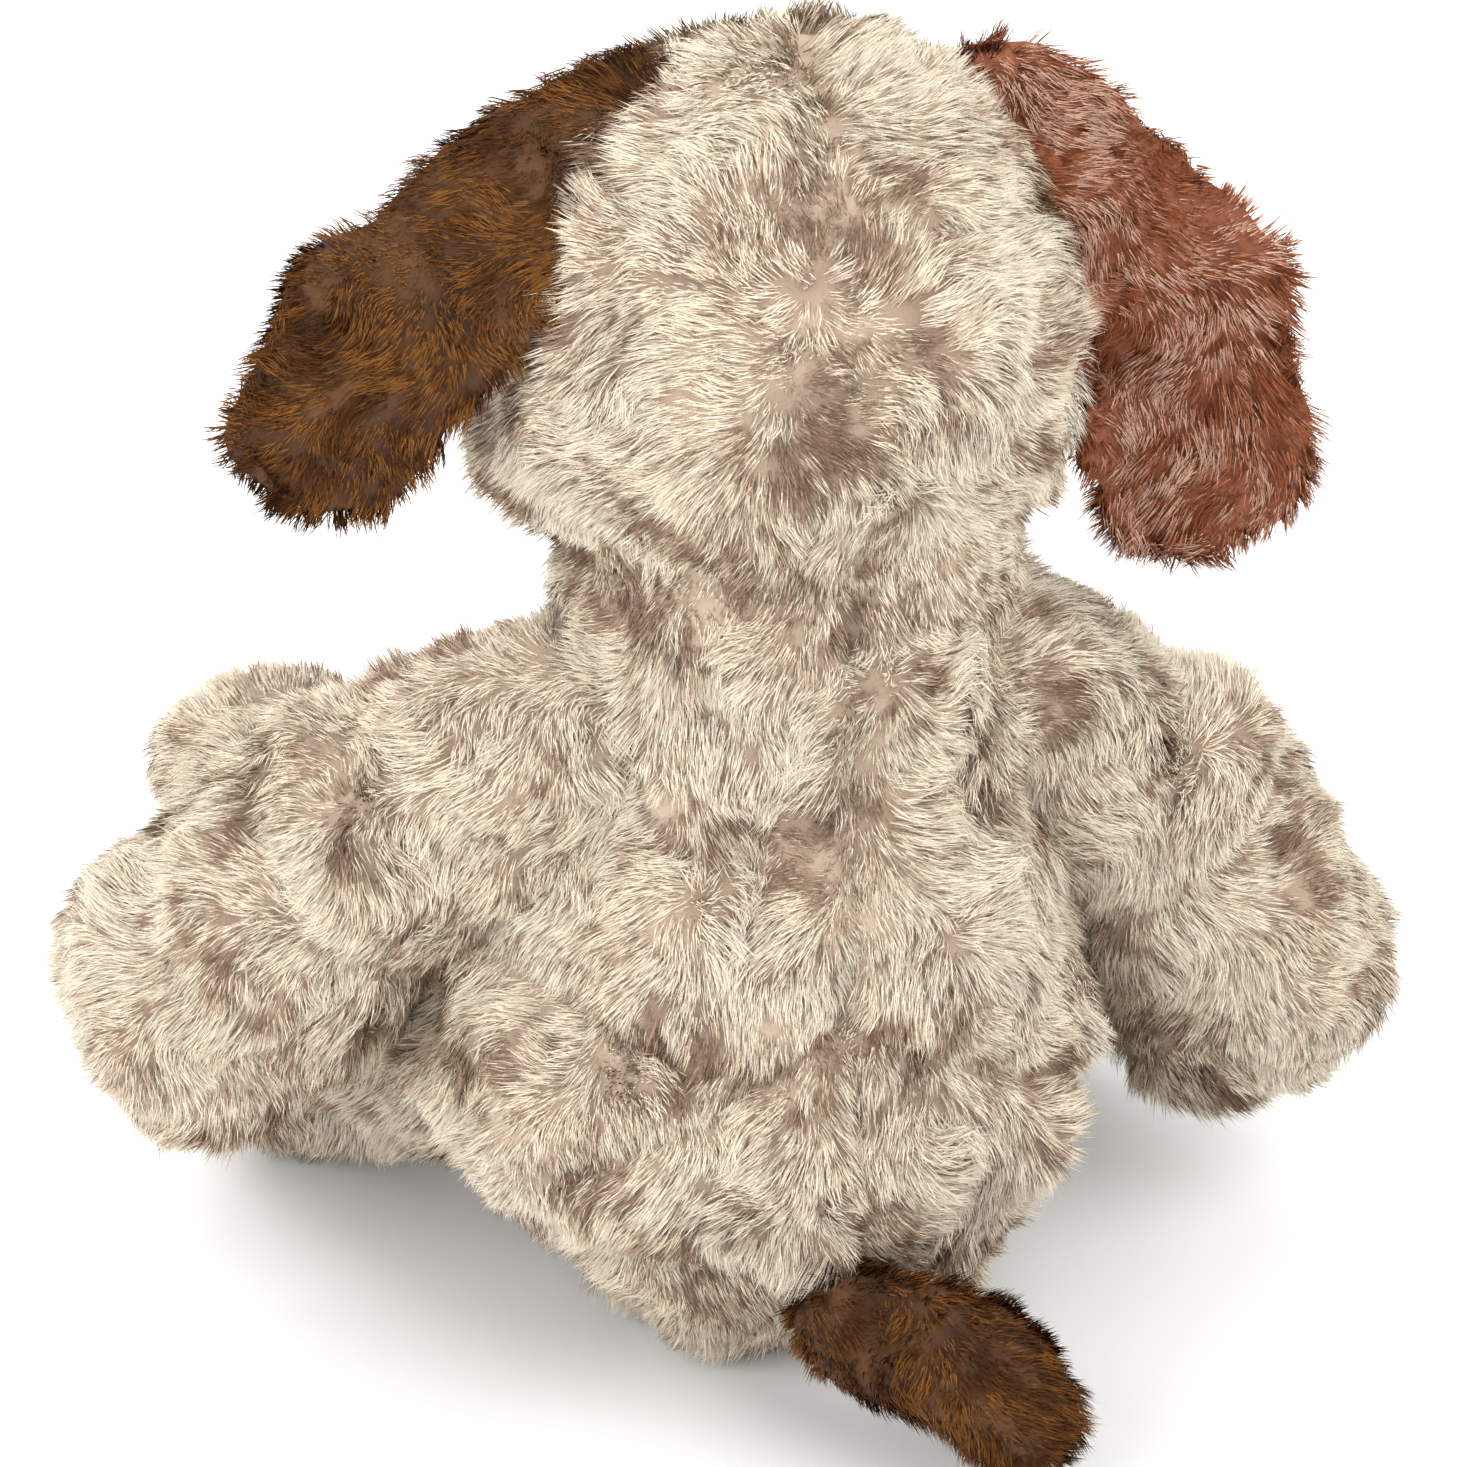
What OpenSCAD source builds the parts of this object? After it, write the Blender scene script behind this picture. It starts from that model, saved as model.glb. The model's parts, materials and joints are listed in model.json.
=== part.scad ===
// Seated plush dog with hanging ears, sewn from long-pile fur panels over stuffing.
// The dog faces -Y, its left side is on +X, and it sits on z = 0. Sizes are in millimetres.
// Each limb, the neck and the tail start in a ball that turns in a socket of the torso.

/* [Torso] */
// Radius of the round lower torso
hip_r = 88; // [86:0.5:90]
// Height of the centre of the lower torso
hip_z = 68; // [66:0.5:72]
// Radius of the chest, between the shoulders
chest_r = 60; // [58:0.5:62]
// Height of the centre of the chest
chest_z = 158; // [154:1:162]
// Radius of the neck
neck_r = 56; // [54:0.5:58]
// Height of the centre of the neck's ball
neck_z = 215; // [213:0.5:217]
// Distance that the neck lies behind the lower torso
neck_back = 27; // [22:1:30]
// Height of the level seam where the torso ends and the neck begins
collar_z = 204; // [203:0.25:205]
// Height of the rump seam at the middle of the back
rump_seam_z = 118; // [100:1:130]

/* [Head] */
// Radius of the skull
skull_r = 66; // [65:0.25:66.5]
// Height of the centre of the skull
skull_z = 276; // [275:0.5:278]
// Sideways tilt of the head, towards the dog's right
head_tilt = 8; // [0:1:10]
// Radius at the tip of the muzzle
muzzle_r = 32; // [28:0.5:34]
// Radius of an eye's dome
eye_r = 8; // [6:0.5:9]

/* [Ears] */
// Length of an ear from its seam to the middle of its round tip
ear_len = 92; // [84:1:98]
// Radius of the ear's round tip
ear_tip_r = 29; // [26:0.5:31]
// Thickness of an ear, both layers together
ear_t = 12; // [10:0.5:14]
// Angle that an ear drops below level, in the head's own frame
ear_droop = 40; // [32:1:42]

/* [Limbs] */
// Radius of an arm at the shoulder
shoulder_r = 23; // [22:0.5:24]
// Radius of a front paw
paw_r = 34; // [32:0.5:35]
// Length of an arm from the shoulder to the middle of the paw
arm_len = 121; // [116:1:126]
// Radius of a leg at the hip
thigh_r = 30; // [28:0.5:31]
// Radius at the heel of a foot
heel_r = 31; // [29:0.5:31.5]
// Radius at the toes of a foot
toe_r = 27; // [25:0.5:28]
// Distance between the middle of the heel and the middle of the toes
foot_len = 72; // [66:1:76]
// Radius of the tail at its root
tail_root_r = 15; // [13:0.5:16]
// Radius of the tail near its tip
tail_tip_r = 19; // [17:0.5:20]
// Length of the tail between the middles of its two ends
tail_len = 44; // [38:1:48]

/* [Fabric] */
// Thickness of a fur panel, with its pile pressed down
skin_t = 5; // [4:0.25:6]

/* [Hidden] */
$fn = 72;
gap = 0.5;
carve = 1.4;
socket_gap = 3;
big = 400;
arc_steps = 8;
seam_turn = 17;

rump_slope = 0.65;
skull_y = 24;
back_seam_y = 8;
crown_seam_z = 38;
muzzle_root_r = 43;
muzzle_start = 22;
muzzle_tip = [0, -86, -36];
mouth_seam_z = -53;
cup_front_y = -8;
neck_axis_y = 25.5;
neck_h = 36;
ear_root_angle = 38;
ear_root_y = -6;
ear_root_half = 16;
stem_r = 2;
washer_t = 1.6;
washer_depth = 3.6;
nose_r = 11;
eye_dir = [0.40, -0.83, 0.38];

hip_c = [0, 0, hip_z];
neck_c = [0, neck_back, neck_z];
skull_c = [0, skull_y, skull_z];
tail_root = [0, 81, 34];
tail_dir = [-0.667, 0.714, -0.212];
bag_c = [0, 6, 40];
bag_r = 32;
bag_half_h = 26;
sole_y = -131;
heel_z = 31.3;
leg_seam_off = 4;

arm_forward = [38, 20];
arm_drop = [42, 52];

cream = "#d9cdbb";
caramel = "#70431f";
russet = "#96583f";
fill_white = "#f2f1ec";
plastic = "#1d1714";
washer_grey = "#c9c9c4";
bag_cloth = "#e7e2d4";

// left is side 1 and right is side -1
function is_left(side) = side > 0;
function shoulder(side) = [55 * side, 21, 172];
function paw(side) =
    let (fwd = arm_forward[is_left(side) ? 0 : 1], drop = arm_drop[is_left(side) ? 0 : 1])
    shoulder(side) + arm_len * [side * cos(drop) * cos(fwd), -cos(drop) * sin(fwd), -sin(drop)];
function hip(side) = [46 * side, -58, 42];
function heel(side) = [88 * side, -103, heel_z];
function toe(side) = heel(side) + foot_len * [0.05 * side, -0.02, 0.9985];
function arc(z, r, a0, a1) =
    [for (i = [0:arc_steps]) let (a = a0 + (a1 - a0) * i / arc_steps) [r * cos(a), z + r * sin(a)]];
function lean(r1, r2, h) = asin((r1 - r2) / h);
function pod_outline(r1, r2, h, grow) =
    let (t = lean(r1, r2, h)) concat(arc(0, r1 + grow, -90, t), arc(h, r2 + grow, t, 90));

// A ball of radius r1 at the origin and one of radius r2 at height h, in one smooth skin.
module pod(r1, r2, h, grow = 0) {
    rotate([0, 0, seam_turn]) rotate_extrude() polygon(pod_outline(r1, r2, h, grow));
}

// Puts its children at one point with their +Z axis towards another.
module aim(from, to) {
    v = to - from;
    translate(from) rotate([0, acos(v.z / norm(v)), atan2(v.y, v.x)]) children();
}

module block(low, high) {
    translate(low) cube(high - low);
}

module left_half(side = 1) {
    if (side > 0) block([0, -big, -big], [big, big, big]);
    else block([-big, -big, -big], [0, big, big]);
}

// ---- torso ----

module pear(grow) {
    length = norm(neck_c - hip_c);
    chest_at = length * (chest_z - hip_z) / (neck_z - hip_z);
    points = concat(arc(0, hip_r + grow, -90, lean(hip_r, chest_r, chest_at)),
        [[chest_r + grow, chest_at]], arc(length, neck_r + grow, 0, 90));
    aim(hip_c, neck_c) rotate([0, 0, seam_turn]) rotate_extrude() polygon(points);
}

module torso_solid(grow, floor_z, top_z) {
    intersection() {
        pear(grow);
        block([-big, -big, floor_z], [big, big, top_z]);
    }
}

module arm_pod(side, grow) {
    aim(shoulder(side), paw(side)) pod(shoulder_r, paw_r, arm_len, grow);
}

module thigh_pod(side, grow) {
    aim(hip(side), heel(side)) pod(thigh_r, heel_r - 3, norm(heel(side) - hip(side)), grow);
}

module tail_pod(grow) {
    aim(tail_root, tail_root + tail_dir) pod(tail_root_r, tail_tip_r, tail_len, grow);
}

// The room that an arm takes in the side of the torso.
module arm_socket(side) {
    translate(shoulder(side)) sphere(shoulder_r + 2 * socket_gap);
    aim(shoulder(side), paw(side)) rotate([0, 0, seam_turn])
        cylinder(r1 = shoulder_r + carve, r2 = paw_r + carve, h = arm_len);
}

module thigh_socket(side) {
    translate(hip(side)) sphere(thigh_r + socket_gap);
}

module tail_socket() {
    translate(tail_root) sphere(tail_root_r + 2 * socket_gap);
}

module torso_shell() {
    difference() {
        torso_solid(0, 0, collar_z);
        torso_solid(-skin_t, skin_t, collar_z + 1);
    }
}

// Puts its children in the torso's own frame, whose +Z axis leans back to the neck.
module along_torso() {
    translate(hip_c) rotate([-atan2(neck_back, neck_z - hip_z), 0, 0]) children();
}

module front_zone() {
    along_torso() block([-big, -big, -big], [big, 0, big]);
}

module rear_zone(side) {
    along_torso() block([side > 0 ? 0 : -big, 0, -big], [side > 0 ? big : 0, big, big]);
}

module rump_zone() {
    drop = big * rump_slope;
    rotate([90, 0, 0]) linear_extrude(2 * big, center = true)
        polygon([[-big, -big], [big, -big], [big, rump_seam_z - drop], [0, rump_seam_z],
            [-big, rump_seam_z - drop]]);
}

module torso_back(side) {
    color(cream) difference() {
        intersection() {
            torso_shell();
            rear_zone(side);
        }
        rump_zone();
        arm_socket(side);
    }
}

module rump(side) {
    color(cream) difference() {
        intersection() {
            torso_shell();
            rear_zone(side);
            rump_zone();
        }
        arm_socket(side);
        tail_socket();
    }
}

module belly_panel() {
    color(cream) difference() {
        intersection() {
            torso_shell();
            front_zone();
        }
        for (side = [-1, 1]) {
            arm_socket(side);
            thigh_socket(side);
        }
    }
}

module bag_solid() {
    intersection() {
        translate(bag_c) sphere(bag_r);
        translate([0, 0, bag_c.z]) block([-big, -big, -bag_half_h], [big, big, bag_half_h]);
    }
}

module bean_bag() {
    color(bag_cloth) bag_solid();
}

module torso_stuffing() {
    color(fill_white) difference() {
        torso_solid(-skin_t, skin_t, collar_z);
        for (side = [-1, 1]) {
            arm_socket(side);
            thigh_socket(side);
        }
        tail_socket();
        bag_solid();
    }
}

// ---- neck, which turns on the level collar seam and holds the skull in a cup ----

module neck_ring(grow) {
    translate([0, neck_axis_y, collar_z + gap])
        cylinder(r1 = neck_r + 1 + grow, r2 = neck_r - 3 + grow, h = neck_h);
}

module neck_cup() {
    translate(skull_c) sphere(skull_r + gap);
    block([-big, -big, -big], [big, cup_front_y, big]);
}

module neck_panel(side) {
    color(cream) difference() {
        neck_ring(0);
        neck_ring(-skin_t);
        neck_cup();
        left_half(-side);
    }
}

module neck_stuffing() {
    color(fill_white) difference() {
        neck_ring(-skin_t);
        neck_cup();
    }
}

// ---- head, in a frame at the skull's centre ----

module on_head() {
    translate(skull_c) rotate([0, -head_tilt, 0]) children();
}

module muzzle_pod(grow) {
    start = muzzle_start * muzzle_tip / norm(muzzle_tip);
    aim(start, muzzle_tip) pod(muzzle_root_r, muzzle_r, norm(muzzle_tip) - muzzle_start, grow);
}

module along_eye(side) {
    aim([0, 0, 0], [side * eye_dir.x, eye_dir.y, eye_dir.z]) children();
}

module along_nose() {
    aim([0, 0, 0], muzzle_tip) children();
}

eye_base = skull_r + 0.05;
nose_base = norm(muzzle_tip) + muzzle_r + 0.05;

// A domed button on a stem that goes in through the panel, with its flat back at height base.
module button_eye(r, rise, base) {
    ball_r = (r * r + rise * rise) / (2 * rise);
    translate([0, 0, base]) intersection() {
        translate([0, 0, rise - ball_r]) sphere(ball_r);
        cylinder(r = r, h = rise);
    }
    translate([0, 0, base - 14]) cylinder(r = stem_r, h = 14.5);
}

module stem_hole(base) {
    translate([0, 0, base - 14.2]) cylinder(r = stem_r + 0.1, h = 20);
}

module washer(r, base) {
    translate([0, 0, base - skin_t - washer_depth - washer_t]) difference() {
        cylinder(r = r, h = washer_t);
        translate([0, 0, -1]) cylinder(r = stem_r + 0.1, h = washer_t + 2);
    }
}

module washer_room(r, base) {
    translate([0, 0, base - skin_t - washer_depth - washer_t]) cylinder(r = r, h = washer_t);
}

module head_holes() {
    for (side = [-1, 1]) along_eye(side) stem_hole(eye_base);
    along_nose() stem_hole(nose_base);
}

module skull_skin() {
    difference() {
        sphere(skull_r);
        sphere(skull_r - skin_t);
        muzzle_pod(0);
        head_holes();
    }
}

module muzzle_skin() {
    difference() {
        muzzle_pod(0);
        muzzle_pod(-skin_t);
        sphere(skull_r - skin_t);
    }
}

module crown_zone() {
    block([-big, -big, crown_seam_z], [big, big, big]);
}

module back_zone() {
    block([-big, back_seam_y, -big], [big, big, crown_seam_z]);
}

module face_zone() {
    block([-big, -big, -big], [big, back_seam_y, crown_seam_z]);
}

// The space below or above the level seam of the mouth.
module jaw_half(lower) {
    block([-big, -big, lower ? -big : mouth_seam_z], [big, big, lower ? mouth_seam_z : big]);
}

module crown_panel() {
    color(cream) on_head() intersection() {
        skull_skin();
        crown_zone();
    }
}

module head_back(side) {
    color(cream) on_head() intersection() {
        skull_skin();
        back_zone();
        left_half(side);
    }
}

module face(side) {
    color(cream) on_head() intersection() {
        skull_skin();
        face_zone();
        left_half(side);
    }
}

module muzzle_top() {
    color(cream) on_head() difference() {
        muzzle_skin();
        jaw_half(true);
        along_nose() stem_hole(nose_base);
    }
}

module chin_panel() {
    color(cream) on_head() difference() {
        muzzle_skin();
        jaw_half(false);
    }
}

module head_stuffing() {
    color(fill_white) on_head() difference() {
        union() {
            sphere(skull_r - skin_t);
            muzzle_pod(-skin_t);
        }
        head_holes();
        for (side = [-1, 1]) along_eye(side) washer_room(eye_r, eye_base);
        along_nose() washer_room(nose_r, nose_base);
    }
}

module eye(side) {
    color(plastic) on_head() along_eye(side) button_eye(eye_r, 5, eye_base);
}

module eye_washer(side) {
    color(washer_grey) on_head() along_eye(side) washer(eye_r, eye_base);
}

module nose() {
    color(plastic) on_head() along_nose() button_eye(nose_r, 7, nose_base);
}

module nose_washer() {
    color(washer_grey) on_head() along_nose() washer(nose_r, nose_base);
}

// ---- ears, each a flat two-layer flap that hinges on its seam ----

module ear_solid() {
    flare = lean(ear_tip_r, ear_root_half, ear_len);
    tip = [for (i = [0:2 * arc_steps]) let (a = 90 + flare - (180 + 2 * flare) * i / (2 * arc_steps))
        [ear_len + ear_tip_r * cos(a), ear_tip_r * sin(a)]];
    translate([0, 0, -ear_t / 2]) linear_extrude(ear_t)
        polygon(concat([[0, -ear_root_half], [0, ear_root_half]], tip));
    rotate([90, 0, 0]) cylinder(r = ear_t / 2, h = 2 * ear_root_half, center = true);
}

module ear_place(side) {
    reach = skull_r + ear_t / 2 + gap;
    root = [side * reach * cos(ear_root_angle), ear_root_y, reach * sin(ear_root_angle)];
    on_head() translate(root) mirror([side > 0 ? 0 : 1, 0, 0]) rotate([0, ear_droop, 0]) children();
}

module ear_outer(side) {
    color(is_left(side) ? caramel : russet) ear_place(side) intersection() {
        ear_solid();
        block([-big, -big, 0], [big, big, big]);
    }
}

module ear_lining(side) {
    color(is_left(side) ? caramel : russet) ear_place(side) intersection() {
        ear_solid();
        block([-big, -big, -big], [big, big, 0]);
    }
}

// ---- arms ----

module arm_half(side, upper) {
    color(cream) aim(shoulder(side), paw(side)) difference() {
        pod(shoulder_r, paw_r, arm_len);
        pod(shoulder_r, paw_r, arm_len, -skin_t);
        if (upper) block([0, -big, -big], [big, big, big]);
        else block([-big, -big, -big], [0, big, big]);
    }
}

module arm_stuffing(side) {
    color(fill_white) arm_pod(side, -skin_t);
}

// ---- legs, each a thigh and an upright foot with a flat sole facing forwards ----

module leg_solid(side, grow) {
    intersection() {
        union() {
            thigh_pod(side, grow);
            aim(heel(side), toe(side)) pod(heel_r, toe_r, foot_len, grow);
        }
        block([-big, sole_y - grow, -big], [big, big, big]);
    }
}

module leg_skin(side) {
    difference() {
        leg_solid(side, 0);
        leg_solid(side, -skin_t);
    }
}

module sole_zone() {
    block([-big, -big, -big], [big, sole_y + skin_t, big]);
}

module leg_outer(side) {
    color(cream) difference() {
        leg_skin(side);
        sole_zone();
        leg_split(side, false);
    }
}

module leg_inner(side) {
    color(cream) difference() {
        leg_skin(side);
        sole_zone();
        leg_split(side, true);
    }
}

// The space on one side of the leg's long seam, an upright plane beside the hip and the heel.
module leg_split(side, outer) {
    turn = atan2(heel(side).y - hip(side).y, heel(side).x - hip(side).x);
    seam = side * leg_seam_off;
    beyond = outer == is_left(side);
    translate(hip(side)) rotate([0, 0, turn])
        block([-big, beyond ? seam : -big, -big], [big, beyond ? big : seam, big]);
}

module foot_sole(side) {
    color(cream) intersection() {
        leg_skin(side);
        sole_zone();
    }
}

module leg_stuffing(side) {
    color(fill_white) leg_solid(side, -skin_t);
}

// ---- tail ----

module tail_half(upper) {
    color(caramel) aim(tail_root, tail_root + tail_dir) difference() {
        pod(tail_root_r, tail_tip_r, tail_len);
        pod(tail_root_r, tail_tip_r, tail_len, -skin_t);
        if (upper) block([0, -big, -big], [big, big, big]);
        else block([-big, -big, -big], [0, big, big]);
    }
}

module tail_stuffing() {
    color(fill_white) tail_pod(-skin_t);
}

torso_back(1);  // torso_back_left
torso_back(-1);  // torso_back_right
rump(1);  // rump_left
rump(-1);  // rump_right
belly_panel();
torso_stuffing();
bean_bag();
neck_panel(1);  // neck_left
neck_panel(-1);  // neck_right
neck_stuffing();
head_back(1);  // head_back_left
head_back(-1);  // head_back_right
crown_panel();
face(1);  // face_left
face(-1);  // face_right
muzzle_top();
chin_panel();
head_stuffing();
eye(1);  // eye_left
eye(-1);  // eye_right
eye_washer(1);  // eye_washer_left
eye_washer(-1);  // eye_washer_right
nose();
nose_washer();
ear_outer(1);  // ear_left_outer
ear_lining(1);  // ear_left_lining
ear_outer(-1);  // ear_right_outer
ear_lining(-1);  // ear_right_lining
arm_half(1, true);  // arm_left_outer
arm_half(1, false);  // arm_left_inner
arm_stuffing(1);  // arm_left_stuffing
arm_half(-1, true);  // arm_right_outer
arm_half(-1, false);  // arm_right_inner
arm_stuffing(-1);  // arm_right_stuffing
leg_outer(1);  // leg_left_outer
leg_inner(1);  // leg_left_inner
foot_sole(1);  // foot_left_sole
leg_stuffing(1);  // leg_left_stuffing
leg_outer(-1);  // leg_right_outer
leg_inner(-1);  // leg_right_inner
foot_sole(-1);  // foot_right_sole
leg_stuffing(-1);  // leg_right_stuffing
tail_half(true);  // tail_upper
tail_half(false);  // tail_lower
tail_stuffing();
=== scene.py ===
"""Looks of the seated plush dog: sewn covers with a long tufted pile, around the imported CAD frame.

Lengths are in metres. Each part of the dog has a sewn cover with a coat of pile on it, and every part but
the ears has stuffing inside.
"""
import json
import math

import bmesh
import bpy
import numpy as np
from mathutils import Matrix, Vector


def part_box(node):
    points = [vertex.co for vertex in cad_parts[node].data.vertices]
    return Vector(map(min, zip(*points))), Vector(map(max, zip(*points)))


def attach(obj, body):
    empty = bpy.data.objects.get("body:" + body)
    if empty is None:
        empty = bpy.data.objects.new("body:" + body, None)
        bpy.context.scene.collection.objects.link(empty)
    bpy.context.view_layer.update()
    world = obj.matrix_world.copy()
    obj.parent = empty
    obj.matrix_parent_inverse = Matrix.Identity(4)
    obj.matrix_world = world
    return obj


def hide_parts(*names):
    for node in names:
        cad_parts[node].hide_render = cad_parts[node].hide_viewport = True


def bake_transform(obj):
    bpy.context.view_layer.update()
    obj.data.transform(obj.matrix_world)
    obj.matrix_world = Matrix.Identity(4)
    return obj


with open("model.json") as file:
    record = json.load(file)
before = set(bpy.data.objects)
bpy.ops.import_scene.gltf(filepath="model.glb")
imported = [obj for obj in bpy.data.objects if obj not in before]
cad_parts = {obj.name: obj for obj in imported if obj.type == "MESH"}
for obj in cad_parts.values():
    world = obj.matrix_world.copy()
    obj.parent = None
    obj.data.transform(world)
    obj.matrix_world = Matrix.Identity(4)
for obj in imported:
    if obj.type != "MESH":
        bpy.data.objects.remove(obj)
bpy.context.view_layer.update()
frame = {"nodes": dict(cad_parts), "record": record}

MM = 0.001
PILE_DENSITY = 1.0     # share of the full number of tufts
VOXEL = 3.2 * MM
FILLING_INSET = 3.0 * MM                       # stuffing lies this far inside its cover
TURNING_INSET = 6.0 * MM                       # and further where the cover spans a joint
FLOOR_GAP = 0.4 * MM                           # the lowest point of the pile


# ---- places taken from the frame ----

def joint_place(name):
    return np.array(next(j for j in frame["record"]["behaviour"]["joints"] if j["name"] == name)["pos_m"])


def middle(*nodes):
    low, high = spread(*nodes)
    return (low + high) / 2


def spread(*nodes):
    boxes = [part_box(n) for n in nodes]
    low = np.min([np.array(b[0]) for b in boxes], axis=0)
    high = np.max([np.array(b[1]) for b in boxes], axis=0)
    return low, high


SKULL = joint_place("head_nod")
NECK = joint_place("neck_turn")


# ---- smooth seeded noise, used for shapes and for the lie of the pile ----

class Noise:
    """A smooth field of sines, about -1 to 1, with features of the given size."""

    def __init__(self, seed, size, terms=9):
        rng = np.random.default_rng(seed)
        way = rng.normal(size=(terms, 3))
        way /= np.linalg.norm(way, axis=1)[:, None]
        self.k = way * (2 * math.pi / size) * rng.uniform(0.6, 1.5, (terms, 1))
        self.phase = rng.uniform(0, 2 * math.pi, terms)
        self.scale = 1.6 / math.sqrt(terms)

    def __call__(self, p):
        return np.sin(p @ self.k.T + self.phase).sum(axis=1) * self.scale


def unit(v):
    return v / np.maximum(np.linalg.norm(v, axis=-1, keepdims=True), 1e-12)


# ---- stuffed forms: rows of balls, joined by a voxel remesh and smoothed ----

def row_of_balls(points, radii, steps=10):
    """Balls along straight stretches between the points, with the radius eased from one to the next."""
    found = []
    for a, b, ra, rb in zip(points[:-1], points[1:], radii[:-1], radii[1:]):
        for i in range(steps):
            f = i / steps
            ease = f * f * (3 - 2 * f)
            found.append((np.array(a) * (1 - f) + np.array(b) * f, ra * (1 - ease) + rb * ease))
    found.append((np.array(points[-1], float), radii[-1]))
    return found


def mesh_of(name, verts, faces):
    mesh = bpy.data.meshes.new(name)
    mesh.from_pydata([tuple(v) for v in verts], [], [tuple(f) for f in faces])
    mesh.update()
    return mesh


def piece(name, mesh):
    obj = bpy.data.objects.new(name, mesh)
    bpy.context.scene.collection.objects.link(obj)
    return obj


def evaluated(obj):
    """Applies obj's modifiers to its own mesh."""
    bpy.context.view_layer.update()
    made = bpy.data.meshes.new_from_object(obj.evaluated_get(bpy.context.evaluated_depsgraph_get()))
    obj.modifiers.clear()
    old, obj.data = obj.data, made
    bpy.data.meshes.remove(old)
    return obj


def stuffed(name, balls, voxel=VOXEL, smooth=8, squeeze=(1, 1, 1)):
    """One closed form around the balls; squeeze scales each ball about its own centre."""
    bm = bmesh.new()
    for centre, radius in balls:
        place = Matrix.Translation(Vector(centre)) @ Matrix.Diagonal((*[radius * s for s in squeeze], 1))
        bmesh.ops.create_icosphere(bm, subdivisions=4, radius=1, matrix=place)
    mesh = bpy.data.meshes.new(name)
    bm.to_mesh(mesh)
    bm.free()
    obj = piece(name, mesh)
    remesh = obj.modifiers.new("join", "REMESH")
    remesh.mode = "VOXEL"
    remesh.voxel_size = voxel
    relax = obj.modifiers.new("relax", "SMOOTH")
    relax.factor = 0.5
    relax.iterations = smooth
    return evaluated(obj)


def points_of(mesh):
    co = np.empty(len(mesh.vertices) * 3, np.float32)
    mesh.vertices.foreach_get("co", co)
    return co.reshape(-1, 3).astype(float)


def normals_of(mesh):
    no = np.empty(len(mesh.vertices) * 3, np.float32)
    mesh.vertices.foreach_get("normal", no)
    return no.reshape(-1, 3).astype(float)


def set_points(mesh, co):
    mesh.vertices.foreach_set("co", np.ascontiguousarray(co, np.float32).ravel())
    mesh.update()


def smooth_shaded(mesh):
    mesh.polygons.foreach_set("use_smooth", np.ones(len(mesh.polygons), bool))
    mesh.update()


def dented(obj, depth_at, lumps=1.1 * MM, seed=1):
    """Pushes the cover in along its seams and creases and gives it the slight lumps of hand stuffing."""
    co, no = points_of(obj.data), normals_of(obj.data)
    move = lumps * Noise(seed, 46 * MM)(co) + 0.45 * lumps * Noise(seed + 50, 17 * MM)(co)
    set_points(obj.data, co + no * (move - depth_at(co))[:, None])
    smooth_shaded(obj.data)
    return obj


def filling_of(cover, name, body, nodes, blend=None):
    """The stuffing inside a cover: the same form, a little smaller. With blend it sits further in and is left
    unattached to a body.
    """
    obj = piece(name, cover.data.copy())
    co, no = points_of(obj.data), normals_of(obj.data)
    bulge = 0.6 * MM * Noise(7, 12 * MM)(co)
    inset = TURNING_INSET if blend else FILLING_INSET
    set_points(obj.data, co + no * (bulge - inset)[:, None])
    obj.data.materials.clear()
    obj.data.materials.append(STUFFING)
    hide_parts(*nodes)
    if blend:
        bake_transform(obj)
    else:
        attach(obj, body)


# ---- the pile ----

class Coat:
    """The pile of one fabric: its length and the colours of its tufts, from tip to root."""

    def __init__(self, name, slot, length, tips, roots, weights, patch_size, patch_share, mix=0.2):
        self.slot, self.length = slot, length
        self.tips = [hair_material(f"{name}_tip_{i}", c) for i, c in enumerate(tips)]
        self.roots = [hair_material(f"{name}_root_{i}", c) for i, c in enumerate(roots)]
        self.weights = weights
        self.patch_size, self.patch_share, self.mix = patch_size, patch_share, mix


def hair_material(name, colour):
    """A plain fibre: every colour of a coat has its own material, so that the tufts stay light to export."""
    mat = bpy.data.materials.new(name)
    mat.use_nodes = True
    shader = mat.node_tree.nodes["Principled BSDF"]
    shader.inputs["Base Color"].default_value = (*colour, 1)
    shader.inputs["Roughness"].default_value = 0.62
    shader.inputs["Specular IOR Level"].default_value = 0.08
    shader.inputs["Sheen Weight"].default_value = 0.12
    shader.inputs["Sheen Roughness"].default_value = 0.5
    shader.inputs["Sheen Tint"].default_value = (*colour, 1)
    return mat


TUFTS_PER_M2 = 215000
HAIRS_PER_TUFT = 9
TUFT_R = 2.1 * MM
HAIR_W = 0.31 * MM
ROOT_DEPTH = 1.2 * MM      # hairs start this far under the cover
UNDERCOAT_SHARE = 0.2      # short upright tufts, which fill the middles of whorls
UNDERCOAT_LENGTH = 0.55    # of the full length
SEAM_CROP = 0.40           # the share of its length that pile loses over a seam
MAX_HAIRS = 64000          # hairs in one mesh, three triangles each


def surface_samples(mesh, count, rng):
    """Points spread evenly over the surface, with their smooth normals."""
    mesh.calc_loop_triangles()
    tri = np.empty(len(mesh.loop_triangles) * 3, np.int32)
    mesh.loop_triangles.foreach_get("vertices", tri)
    tri = tri.reshape(-1, 3)
    co, no = points_of(mesh), normals_of(mesh)
    a, b, c = co[tri[:, 0]], co[tri[:, 1]], co[tri[:, 2]]
    area = np.linalg.norm(np.cross(b - a, c - a), axis=1) / 2
    pick = rng.choice(len(tri), size=count, p=area / area.sum())
    u, v = rng.random(count), rng.random(count)
    over = u + v > 1
    u[over], v[over] = 1 - u[over], 1 - v[over]
    w = 1 - u - v
    mix = lambda q: q[tri[pick, 0]] * w[:, None] + q[tri[pick, 1]] * u[:, None] + q[tri[pick, 2]] * v[:, None]
    return mix(co), unit(mix(no))


def area_of(mesh):
    return sum(p.area for p in mesh.polygons)


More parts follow.
